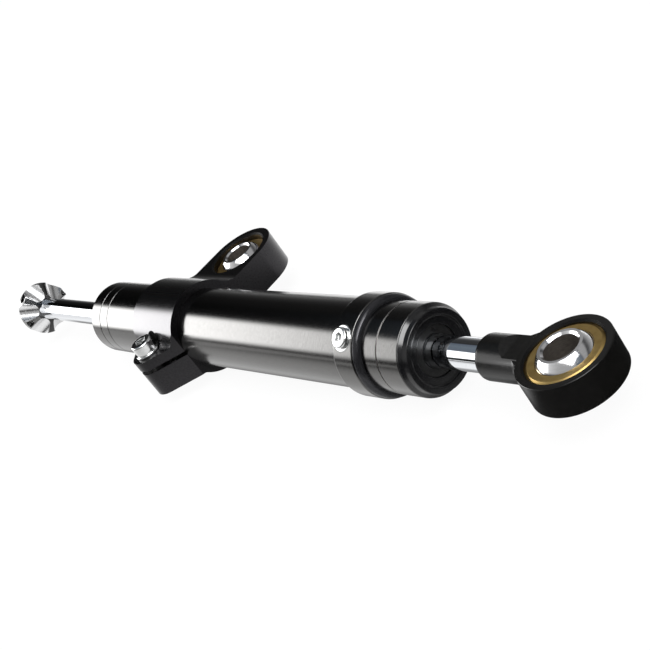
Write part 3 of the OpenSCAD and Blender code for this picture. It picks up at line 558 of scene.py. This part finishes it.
clampBracket = cutter(clampSide)
clampBracket.name = "clampBracket"
shaped(clampBracket, [
    ("INTERSECT", cutter(clampTop)),
    hole(clamp["bore"], -past, past, roundSteps, alongX),
    ("DIFFERENCE", cutter(lambda bm: addBlock(bm, (-past, lugY - past / 2, -clamp["split"] / 2),
                                              (past, axisY, clamp["split"] / 2)))),
    hole(clamp["threadHole"], clamp["threadFrom"], clamp["threadTo"], 48, atLug),
    hole(clamp["boltHole"], 0, past, 48, atLug),
    hole(clamp["pocket"], clamp["lugTop"], past, 80, atLug),
    seatHole(clamp["eyeHalf"], clamp["race"], clamp["raceEdge"], upright(0, 0, 0))])
roundRim(clampBracket, clamp["eyeRound"], lambda p: abs(abs(p.z) - clamp["eyeHalf"]) < level
         and math.hypot(p.x, p.y) > clamp["rimFrom"])
softEdges(clampBracket, clamp["edge"])

# limits for the normals and the distances of the faces that get painted light or shade: a lighter copy of the clamp's
# black on the ring, near-black on the pocket wall and the seat edges
finder = {"along": 0.02, "ringTilt": (0.05, 0.996), "ringIn": 0.3, "wall": 0.05, "pocketOut": 0.2,
          "edgeTilt": (0.2, 0.9), "edgeOff": 0.5}


def between(value, limits):
    return limits[0] < value < limits[1]


def onRing(p, n):  # turned outside of the ring and its blends
    return (abs(n.x) < finder["along"] and between(abs(n.z), finder["ringTilt"])
            and math.hypot(p.y - axisY, p.z) > clamp["ring"] - finder["ringIn"])


def inPocket(p, n):  # wall of the bolt's pocket
    return (p.z > clamp["lugTop"] + near and abs(n.z) < finder["wall"]
            and math.hypot(p.x, p.y - lugY) < clamp["pocket"] + finder["pocketOut"])


def onSeatEdge(p, n, x, y, form):  # sloping edge of a bearing's seat
    away = math.hypot(p.x - x, p.y - y) - form["race"] - form["raceEdge"] / 2
    return between(abs(n.z), finder["edgeTilt"]) and abs(away) < finder["edgeOff"]


finished(clampBracket, clampBlack, "barrel", "black_anodised", "clamp_bracket")
# painted highlight: the ring and its blends get the lighter copy of the clamp's black
secondFinish(clampBracket, clampLitCopy, onRing)
# painted shade on the wall of the bolt's pocket and on the seat's sloping edge
secondFinish(clampBracket, pocketShade, lambda p, n: inPocket(p, n) or onSeatEdge(p, n, 0, 0, clamp))

bolt = {"radius": 2.5, "head": 4.4, "headH": 4.4, "washer": 5.0, "washerBore": 2.7, "washerT": 0.9, "socket": 4.0,
        "end": -10.2, "soft": 0.15}
boltSeat = clamp["lugTop"] + bolt["washerT"]
boltTop = boltSeat + bolt["headH"]
clampWasher = turnedPiece("clampWasher", [
    (clamp["lugTop"], bolt["washerBore"], 0.1), (clamp["lugTop"], bolt["washer"], 0.2),
    (boltSeat, bolt["washer"], 0.3), (boltSeat, bolt["washerBore"], 0.1)], upright(0, lugY, 0), smallSteps)
finished(clampWasher, brightSteel, "barrel", "bright_steel", "clamp_washer")
clampBolt = turnedPiece("clampBolt", [
    (bolt["end"], 0, 0), (bolt["end"], bolt["radius"], 0.5), (boltSeat, bolt["radius"], 0),
    (boltSeat, bolt["head"], 0.2), (boltTop, bolt["head"], 0.7), (boltTop, 0, 0)],
    upright(0, lugY, 0), smallSteps, closed=False)
shaped(clampBolt, [keyHole(bolt["socket"], boltSeat + bolt["headH"] / 2, boltTop + over, atLug)])
softEdges(clampBolt, bolt["soft"])
finished(clampBolt, brightSteel, "barrel", "bright_steel", "clamp_bolt")
print("clamp done")

# Spherical bearings: brass race and ball, one in the clamp and one in the rod end

bearing = {"ball": 9.525, "half": 7.0, "bore": 5.0, "boreEdge": 0.6, "race": 11.47, "raceHalf": 4.6, "run": 0.06,
           "raceSlope": 0.9, "raceDrop": 0.55}
rodEndX = 195.9  # the rod end's ball along the damper


def bearingRing(name, place, ball, half, steps, corners):  # ring with one round face of the ball's radius
    faceR = math.sqrt(ball ** 2 - half ** 2)
    span = math.degrees(math.asin(half / ball))
    bm = bmesh.new()
    first = bm.verts.new((-half * mm, faceR * mm, 0))
    last = arcFrom(bm, first, (0, 0, 0), (0, 0, 1), -2 * span, steps)
    for along, radius in corners + [(-along, radius) for along, radius in reversed(corners)]:
        last = lineFrom(bm, last, (along * mm, radius * mm, 0))
    bm.edges.new((last, first))
    return spunRound(name, bm, place, midSteps)


def ballMesh(name, place):
    half, bore, edge = bearing["half"], bearing["bore"], bearing["boreEdge"]
    return bearingRing(name, place, bearing["ball"], half, 40, [(half, bore + edge), (half - edge, bore)])


def raceMesh(name, place):
    half, outer = bearing["raceHalf"], bearing["race"]
    return bearingRing(name, place, bearing["ball"] + bearing["run"], half, 24,
                       [(half, outer - bearing["raceSlope"]), (half - bearing["raceDrop"], outer)])


def shadeBore(piece, x, y):  # the wall of the ball's bore gets a rough drilled finish, darkened as painted shade inside the bore
    secondFinish(piece, boreShade, lambda p, n: math.hypot(p.x - x, p.y - y) < bearing["bore"] + near)


clampRace = raceMesh("clampRace", upright(0, 0, 0))
finished(clampRace, raceBrass, "barrel", "race_brass", "clamp_race", smooth=25)
clampBall = ballMesh("clampBall", upright(0, 0, 0))
finished(clampBall, ballChrome, "frame_ball", "ball_chrome", "clamp_ball")
shadeBore(clampBall, 0, 0)
rodEndRace = raceMesh("rodEndRace", upright(rodEndX, axisY, 0))
finished(rodEndRace, raceBrass, "rod", "race_brass", "rod_end_race", smooth=25)
rodEndBall = ballMesh("rodEndBall", upright(rodEndX, axisY, 0))
finished(rodEndBall, ballChrome, "yoke_ball", "ball_chrome", "rod_end_ball")
shadeBore(rodEndBall, rodEndX, axisY)
print("bearings done")

# Rod end: round shank with two flats that run out in a slope, webs that blend into the eye, and the eye

rodEnd = {"start": 165.8, "shank": 6.75, "startRound": 1.6, "shankLen": 8.7, "flatRun": 2.6, "flat": 4.95,
          "flatOver": 0.7, "flatEnd": 0.2, "eye": 14.0, "half": 5.15, "edge": 0.4, "race": 11.5, "raceEdge": 0.6,
          "blend": 6.0, "web": 6.55, "webHalf": 4.75, "webIn": 0.05, "coneIn": 0.2, "thread": 4.03}
flatX = rodEnd["start"] + rodEnd["shankLen"]
webReach = math.sqrt((rodEnd["eye"] + rodEnd["blend"]) ** 2 - (rodEnd["web"] + rodEnd["blend"]) ** 2)


def rodEndWeb(bm):  # flat web that runs from the shank into the eye with a blend on both sides
    up = rodEnd["web"] + rodEnd["blend"]
    turn = math.degrees(math.atan2(webReach, up))

    def at(x, across):
        return ((rodEndX + x) * mm, (axisY + across) * mm, -rodEnd["webHalf"] * mm)

    axis = (0, 0, 1)
    first = bm.verts.new(at(0, -rodEnd["web"]))
    vert = lineFrom(bm, first, at(0, rodEnd["web"]))
    scale = (rodEnd["eye"] - rodEnd["webIn"]) / (rodEnd["eye"] + rodEnd["blend"])
    vert = lineFrom(bm, vert, at(-webReach * scale, up * scale))
    vert = arcFrom(bm, vert, at(-webReach, up), axis, -turn, 16)
    vert = lineFrom(bm, vert, at(-webReach, -rodEnd["web"]))
    vert = arcFrom(bm, vert, at(-webReach, -up), axis, -turn, 16)
    extruded(bm, first, vert, (0, 0, 2 * rodEnd["webHalf"] * mm))


def rodEndFlats(bm):  # room that the flats leave, seen from the side
    rise = (rodEnd["shank"] - rodEnd["flat"]) / rodEnd["flatRun"]
    tall = rodEnd["shank"] + rodEnd["flatOver"]
    ends = [(rodEnd["start"] - 2 * over, tall), (flatX - rodEnd["flatOver"] / rise, tall),
            (flatX + rodEnd["flatRun"], rodEnd["flat"]), (rodEndX + rodEnd["flatEnd"], rodEnd["flat"])]
    outline = ends + [(x, -z) for x, z in reversed(ends)]
    first = vert = bm.verts.new((outline[0][0] * mm, (axisY - past) * mm, outline[0][1] * mm))
    for x, z in outline[1:]:
        vert = lineFrom(bm, vert, (x * mm, (axisY - past) * mm, z * mm))
    extruded(bm, first, vert, (0, 2 * past * mm, 0))


coneR = rodEnd["eye"] - rodEnd["coneIn"]
webCone = (coneR - rodEnd["web"]) / webReach
coneForm = turnedPiece("cutter", [
    (rodEndX - webReach - over, 0, 0), (rodEndX - webReach - over, rodEnd["web"] - webCone * over, 0),
    (rodEndX, coneR, 0), (rodEndX, 0, 0)], steps=midSteps, closed=False)
shankEnd = rodEndX - rodEnd["race"] + over
shankForm = turnedPiece("cutter", [
    (rodEnd["start"], 0, 0), (rodEnd["start"], rodEnd["shank"], rodEnd["startRound"]),
    (shankEnd, rodEnd["shank"], 0), (shankEnd, 0, 0)], closed=False)
eyeForm = turnedPiece("cutter", [
    (-rodEnd["half"], 0, 0), (-rodEnd["half"], rodEnd["eye"], rodEnd["edge"]),
    (rodEnd["half"], rodEnd["eye"], rodEnd["edge"]), (rodEnd["half"], 0, 0)],
    upright(rodEndX, axisY, 0), closed=False)
rodEndEye = cutter(rodEndWeb)
rodEndEye.name = "rodEndEye"
shaped(rodEndEye, [
    ("INTERSECT", coneForm),
    ("UNION", shankForm),
    ("INTERSECT", cutter(rodEndFlats)),
    ("UNION", eyeForm),
    hole(rodEnd["thread"], rodEnd["start"] - 5 * over, flatX, 64, alongX),
    seatHole(rodEnd["half"], rodEnd["race"], rodEnd["raceEdge"], upright(rodEndX, axisY, 0))])
finished(rodEndEye, rodEndBlack, "rod", "black_anodised", "rod_end_eye", smooth=28)
# painted shade on the seat's sloping edge
secondFinish(rodEndEye, pocketShade, lambda p, n: onSeatEdge(p, n, rodEndX, axisY, rodEnd))
print("rod end done")

# Rod: ground and chromed, drilled for the needle, with ports, clip grooves and detent dimples

rod = {"radius": 5.0, "tail": -142.3, "bore": 2.2, "seat": 1.5, "piston": 6.0, "half": 8.0, "clipT": 1.2,
       "clipDeep": 0.6, "port": 1.2, "portOut": 11.8, "portReach": 8, "boreOn": 2.2, "screwX": -140.3,
       "screwDeep": 0.9, "screwHalf": 1.0, "threadR": 4.0, "threadLen": 7.7, "detentX": -138.3, "clicks": 12,
       "dimple": 1.25, "dimpleOut": 5.9}


def rodNotch(start, end, deep):  # groove in the rod's outside
    return notch(start, end, rod["radius"], rod["radius"] - deep)


pistonRear, pistonFront = rod["piston"] - rod["half"], rod["piston"] + rod["half"]
boreEndX = rod["piston"] + rod["portOut"] + rod["boreOn"]
threadX = rodEnd["start"] + rod["threadLen"]
pistonRod = turnedPiece("pistonRod", [
    (rod["tail"], rod["bore"], 0), (rod["tail"], rod["radius"], 0.4),
    *rodNotch(rod["screwX"] - rod["screwHalf"], rod["screwX"] + rod["screwHalf"], rod["screwDeep"]),
    *rodNotch(pistonRear - rod["clipT"], pistonRear, rod["clipDeep"]),
    *rodNotch(pistonFront, pistonFront + rod["clipT"], rod["clipDeep"]),
    (rodEnd["start"], rod["radius"], 0.3), (rodEnd["start"], rod["threadR"], 0),
    (threadX, rod["threadR"], 0.3), (threadX, 0, 0), (boreEndX, 0, 0), (boreEndX, rod["seat"], 0),
    (rod["piston"], rod["seat"], 0), (rod["piston"], rod["bore"], 0)], steps=midSteps)


def portHole(side):  # oil port across the rod, on one side of the piston
    place = roundAxis(rod["piston"] + side * rod["portOut"], 0)
    return hole(rod["port"], -rod["portReach"], rod["portReach"], 32, place)


def dimpleCutter():  # ring of dimples that the detent balls click into
    bm = bmesh.new()
    for i in range(rod["clicks"]):
        place = roundAxis(rod["detentX"], 2 * math.pi * i / rod["clicks"])
        bmesh.ops.create_uvsphere(bm, u_segments=24, v_segments=16, radius=rod["dimple"] * mm,
                                  matrix=place @ Matrix.Translation((0, 0, rod["dimpleOut"] * mm)))
    return looseObject("cutter", bm)


shaped(pistonRod, [portHole(-1), portHole(1), ("DIFFERENCE", dimpleCutter())])
finished(pistonRod, rodChrome, "rod", "rod_chrome", "piston_rod")
print("rod done")

# Adjuster knob: turned blank with a sloping inner face and finger scoops

knob = {"face": -135.3, "end": -145.1, "radius": 12.0, "hub": 6.3, "slope": 3.2, "round": 3.0, "bore": 5.06,
        "boreEnd": -142.6, "scoops": 6, "scoopR": 4.4, "tilt": 38.0, "key": 3.2, "keyDeep": 4, "soft": 0.3,
        "drillFrom": 4.5, "drillTo": 14, "screwDrill": 1.53, "plugDrill": 1.35}
scoopTilt = Matrix.Rotation(math.radians(knob["tilt"] - 90), 4, "Y")
adjusterKnob = turnedPiece("adjusterKnob", [
    (knob["end"], 0, 0), (knob["end"], knob["radius"], knob["round"]),
    (knob["face"] - knob["slope"], knob["radius"], 0.5), (knob["face"], knob["hub"], 0.3),
    (knob["face"], knob["bore"], 0), (knob["boreEnd"], knob["bore"], 0), (knob["boreEnd"], 0, 0)],
    steps=midSteps, closed=False)


def scoopCutter():  # slanting rounds that cut the finger scoops
    bm = bmesh.new()
    outward = Matrix.Translation((0, 0, (knob["hub"] + knob["scoopR"]) * mm))
    for i in range(knob["scoops"]):
        place = roundAxis(knob["face"], 2 * math.pi * i / knob["scoops"]) @ outward @ scoopTilt
        addCylinder(bm, knob["scoopR"], -past, past, 64, place)
    return looseObject("cutter", bm)


def drillCutter(x, lobe, radius):  # two drillings across from each other, between scoops
    bm = bmesh.new()
    for side in (0, 1):
        angle = (lobe + side * knob["scoops"] / 2 + 0.5) * 2 * math.pi / knob["scoops"]
        addCylinder(bm, radius, knob["drillFrom"], knob["drillTo"], 40, roundAxis(x, angle))
    return looseObject("cutter", bm)


keyPlace = roundAxis(knob["end"], 0) @ Matrix.Rotation(math.pi / 2, 4, "Y")
shaped(adjusterKnob, [
    ("DIFFERENCE", scoopCutter()),
    keyHole(knob["key"], -over, knob["keyDeep"], keyPlace),
    ("DIFFERENCE", drillCutter(rod["screwX"], 0, knob["screwDrill"])),
    ("DIFFERENCE", drillCutter(rod["detentX"], 1, knob["plugDrill"]))])


def inScoop(p, n):  # true on the wall of any scoop
    along = scoopTilt @ Vector((0, 0, 1))
    for i in range(knob["scoops"]):
        spot = Vector((p.x - knob["face"], p.y - axisY, p.z))
        spot.rotate(Matrix.Rotation(-2 * math.pi * i / knob["scoops"], 4, "X"))
        spot.z -= knob["hub"] + knob["scoopR"]
        if spot.cross(along).length < knob["scoopR"] + fit:
            return True
    return False


softEdges(adjusterKnob, knob["soft"])
# painted shade: the knob is darker than its aluminium everywhere outside the scoops, which keep the aluminium's own
# colour
finished(adjusterKnob, knobShadeCopy, "adjuster", "knob_aluminium", "adjuster_knob")
secondFinish(adjusterKnob, knobAluminium, inScoop)
print("knob done")

# Inner pieces keep their solids and get their own finishes

innerFinishes = {
    "seal_rubber": sealRubber, "bush_bronze": bushBronze, "piston_aluminium": pistonAluminium,
    "slide_ring_plastic": slideRingPlastic, "bright_steel": brightSteel, "ball_chrome": ballChrome}
slotOf = {row["node"]: row["material_slot"] for row in frame["record"]["subparts"]}
for name, node in frame["nodes"].items():
    finish = innerFinishes.get(slotOf.get(name))
    if finish and not node.hide_render:
        if not node.material_slots:
            node.data.materials.append(finish)
        for slot in node.material_slots:
            slot.material = finish
print("inner pieces have their finishes")

# Paper floor: the camera sees it white, and glossy pieces see a painted map of its light, by metres along X and Y,
# with a painted shadow of the damper under it

# glowY drops to 0.3 under the damper: a painted shadow of the damper in the floor's light; glowX and glowY paint
# darker and brighter bands, and glowBehind paints it brighter behind the damper's rear end on the near side
floor = {"z": -17.4, "half": 12.0, "tone": (0.9, 0.9, 0.9), "seenGlow": 0.94, "reach": 0.4, "seam": 0.005,
         "glowY": [(-0.4, 0.05), (-0.25, 0.08), (-0.18, 0.25), (-0.12, 0.75), (-0.08, 1.0), (-0.05, 1.0),
                   (-0.043, 0.3), (0.016, 0.3), (0.024, 1.4), (0.06, 1.4), (0.09, 1.2), (0.4, 1.0)],
         "glowX": [(-0.4, 0.1), (-0.25, 0.2), (-0.2, 0.9), (-0.155, 1.0), (0.158, 1.0), (0.17, 0.1), (0.4, 0.1)],
         "glowBehind": [(-0.4, 0.9), (-0.15, 0.9), (-0.12, 0.0), (0.4, 0.0)]}
bm = bmesh.new()
bmesh.ops.create_grid(bm, x_segments=1, y_segments=1, size=floor["half"],
                      matrix=Matrix.Translation((0, axisY * mm, floor["z"] * mm)))
floorPlane = looseObject("floorPlane", bm)
floorFinish = bpy.data.materials.new("floorFinish")
floorFinish.use_nodes = True
tree = floorFinish.node_tree
tree.nodes.clear()
path = addNode(tree, "LightPath")
where = addNode(tree, "TexCoord")
split = addNode(tree, "SeparateXYZ")
tree.links.new(where.outputs["Object"], split.inputs[0])
paper = addNode(tree, "BsdfDiffuse")
paper.inputs["Color"].default_value = (*floor["tone"], 1)
seen = joined(tree, "ADD", path.outputs["Is Camera Ray"], path.outputs["Is Transmission Ray"])
mirrored = path.outputs["Is Glossy Ray"]
glowX, glowY, glowBehind = [ramped(tree, split.outputs[way], -floor["reach"], floor["reach"], floor[key])
                            for way, key in (("X", "glowX"), ("Y", "glowY"), ("X", "glowBehind"))]
nearSide = eased(tree, split.outputs["Y"], -floor["seam"], floor["seam"], 1.0, 0.0)
glowMap = joined(tree, "MAXIMUM", joined(tree, "MULTIPLY", glowX, glowY),
                 joined(tree, "MULTIPLY", glowBehind, nearSide))
glow = addNode(tree, "Emission")
strength = joined(tree, "ADD", seen, joined(tree, "MULTIPLY", mirrored, glowMap))
share = joined(tree, "ADD", joined(tree, "MULTIPLY", seen, floor["seenGlow"]), mirrored)
blend = addNode(tree, "MixShader")
output = addNode(tree, "OutputMaterial")
tree.links.new(strength, glow.inputs["Strength"])
tree.links.new(share, blend.inputs[0])
tree.links.new(paper.outputs[0], blend.inputs[1])
tree.links.new(glow.outputs[0], blend.inputs[2])
tree.links.new(blend.outputs[0], output.inputs[0])
floorPlane.data.materials.append(floorFinish)

# Studio light

# Angles go round the damper's axis in degrees from +Y over the top, and places are the X of the direction. A long soft
# box lies over the near side and narrows towards the camera: peak, middle and width. A smaller box above the nose has
# its edges in boxX, boxFar and boxNear. The room is dim, and nearRoom and endRoom fade in along X.
studio = {"gain": 8.0, "shapeEase": (0.75, 1.25),
          "peak": [(-1.0, 1.0), (-0.9, 0.95), (-0.86, 0.78), (-0.83, 0.6), (-0.8, 0.36), (-0.77, 0.33), (-0.7, 0.3),
                   (-0.62, 0.2), (-0.5, 0.08), (0.0, 0.05), (1.0, 0.04)],
          "middle": [(-1.0, 139), (-0.9, 139), (-0.86, 139), (-0.83, 141.2), (-0.8, 143), (-0.77, 142.2),
                     (-0.73, 143.7), (1.0, 144)],
          "width": [(-1.0, 34), (-0.9, 34), (-0.86, 30), (-0.83, 28.8), (-0.8, 28), (-0.77, 23.8), (-0.73, 19.3),
                    (1.0, 18)],
          "room": [(-180, 0.03), (-90, 0.1), (0, 0.45), (8, 0.26), (16, 0.14), (24, 0.08), (40, 0.035), (56, 0.03),
                   (72, 0.01), (100, 0.008), (165, 0.01), (180, 0.02)],
          "roomX": [(-1.0, 0.25), (-0.87, 0.25), (-0.84, 1.0), (1.0, 1.0)],
          "nearRoom": [(-180, 0.0), (0, 0.1), (12, 0.1), (25, 0.0), (66, 0.01), (72, (0.1, 0.12, 0.15)),
                       (90, (0.14, 0.17, 0.2)), (118, (0.12, 0.14, 0.17)), (128, 0.0), (180, 0.0)],
          "nearFade": (-0.8, -0.74),
          "endRoom": [(-180, 0.0), (30, 0.0), (38, 0.3), (62, 0.3), (70, 0.0), (180, 0.0)],
          "endFade": (-0.708, -0.688),
          "boxX": [(-1.0, 0.0), (-0.02, 0.0), (0.02, 0.25), (0.42, 0.25), (0.5, 1.0), (0.69, 1.0), (0.73, 0.0),
                   (1.0, 0.0)],
          "boxNear": 127, "nearSoft": 2, "boxFar": [(-1.0, 70), (0.28, 70), (0.36, 78), (1.0, 78)], "farSoft": 0.01,
          "boxLevel": 12.0}
halfTurn = 180.0
world = bpy.data.worlds.new("studio")
bpy.context.scene.world = world
world.use_nodes = True
tree = world.node_tree
tree.nodes.clear()
where = addNode(tree, "TexCoord")
split = addNode(tree, "SeparateXYZ")
tree.links.new(where.outputs["Generated"], split.inputs[0])
across = split.outputs["X"]
turn = joined(tree, "ARCTAN2", split.outputs["Z"], split.outputs["Y"])
turn = joined(tree, "MULTIPLY", turn, halfTurn / math.pi)
turnShare = joined(tree, "DIVIDE", turn, halfTurn)
middle, width, boxFar = [ramped(tree, across, -1, 1, [(x, angle / halfTurn) for x, angle in studio[key]])
                         for key in ("middle", "width", "boxFar")]
offset = joined(tree, "DIVIDE", joined(tree, "SUBTRACT", turnShare, middle), width)
shape = eased(tree, joined(tree, "ABSOLUTE", offset), *studio["shapeEase"], 1.0, 0.0)
peak = ramped(tree, across, -1, 1, studio["peak"])
mainBox = joined(tree, "MULTIPLY", joined(tree, "MULTIPLY", shape, peak), studio["gain"])
pastFar = joined(tree, "SUBTRACT", turnShare, boxFar)
nearFrom, nearTo = studio["boxNear"] - studio["nearSoft"], studio["boxNear"] + studio["nearSoft"]
topBox = studio["boxLevel"]
for side in (ramped(tree, across, -1, 1, studio["boxX"]), eased(tree, pastFar, -studio["farSoft"], studio["farSoft"]),
             eased(tree, turn, nearFrom, nearTo, 1.0, 0.0)):
    topBox = joined(tree, "MULTIPLY", side, topBox)
room, nearRoom, endRoom = [ramped(tree, turn, -halfTurn, halfTurn, studio[key])
                           for key in ("room", "nearRoom", "endRoom")]
total = summed(tree, scaled(tree, room, ramped(tree, across, -1, 1, studio["roomX"])),
               scaled(tree, nearRoom, eased(tree, across, *studio["nearFade"])),
               scaled(tree, endRoom, eased(tree, across, *studio["endFade"])),
               joined(tree, "ADD", mainBox, topBox))
path = addNode(tree, "LightPath")
pick = addNode(tree, "Mix", data_type="RGBA")
pick.inputs["B"].default_value = (1, 1, 1, 1)
sky = addNode(tree, "Background")
output = addNode(tree, "OutputWorld")
tree.links.new(path.outputs["Is Camera Ray"], pick.inputs["Factor"])
tree.links.new(total, pick.inputs["A"])
tree.links.new(pick.outputs["Result"], sky.inputs["Color"])
tree.links.new(sky.outputs[0], output.inputs[0])

# Soft light from above for the paper and the matt parts

lamp = {"size": 1.6, "energy": 6.0, "x": 0.03, "height": 1.2}
lampData = bpy.data.lights.new("overhead", "AREA")
lampData.size = lamp["size"]
lampData.energy = lamp["energy"]
overhead = bpy.data.objects.new("overhead", lampData)
overhead.location = (lamp["x"], axisY * mm, lamp["height"])
overhead.visible_glossy = False
bpy.context.scene.collection.objects.link(overhead)

# Camera, fitted to the photo

view = {"place": (414.2, -189.9, 178.3), "right": (0.5843, 0.6118, -0.5332), "up": (-0.0551, 0.6854, 0.7261),
        "back": (0.8096, -0.3949, 0.4342), "lens": 68.41, "sensor": 36.0, "clip": 0.01}
cameraData = bpy.data.cameras.new("photoCamera")
cameraData.lens = view["lens"]
cameraData.sensor_width = view["sensor"]
cameraData.clip_start = view["clip"]
photoCamera = bpy.data.objects.new("photoCamera", cameraData)
bpy.context.scene.collection.objects.link(photoCamera)
turn = Matrix((view["right"], view["up"], view["back"])).transposed().to_4x4()
photoCamera.matrix_world = Matrix.Translation(Vector(view["place"]) * mm) @ turn
bpy.context.scene.camera = photoCamera
bpy.context.scene.view_settings.view_transform = "Standard"
print("floor, light and camera set")
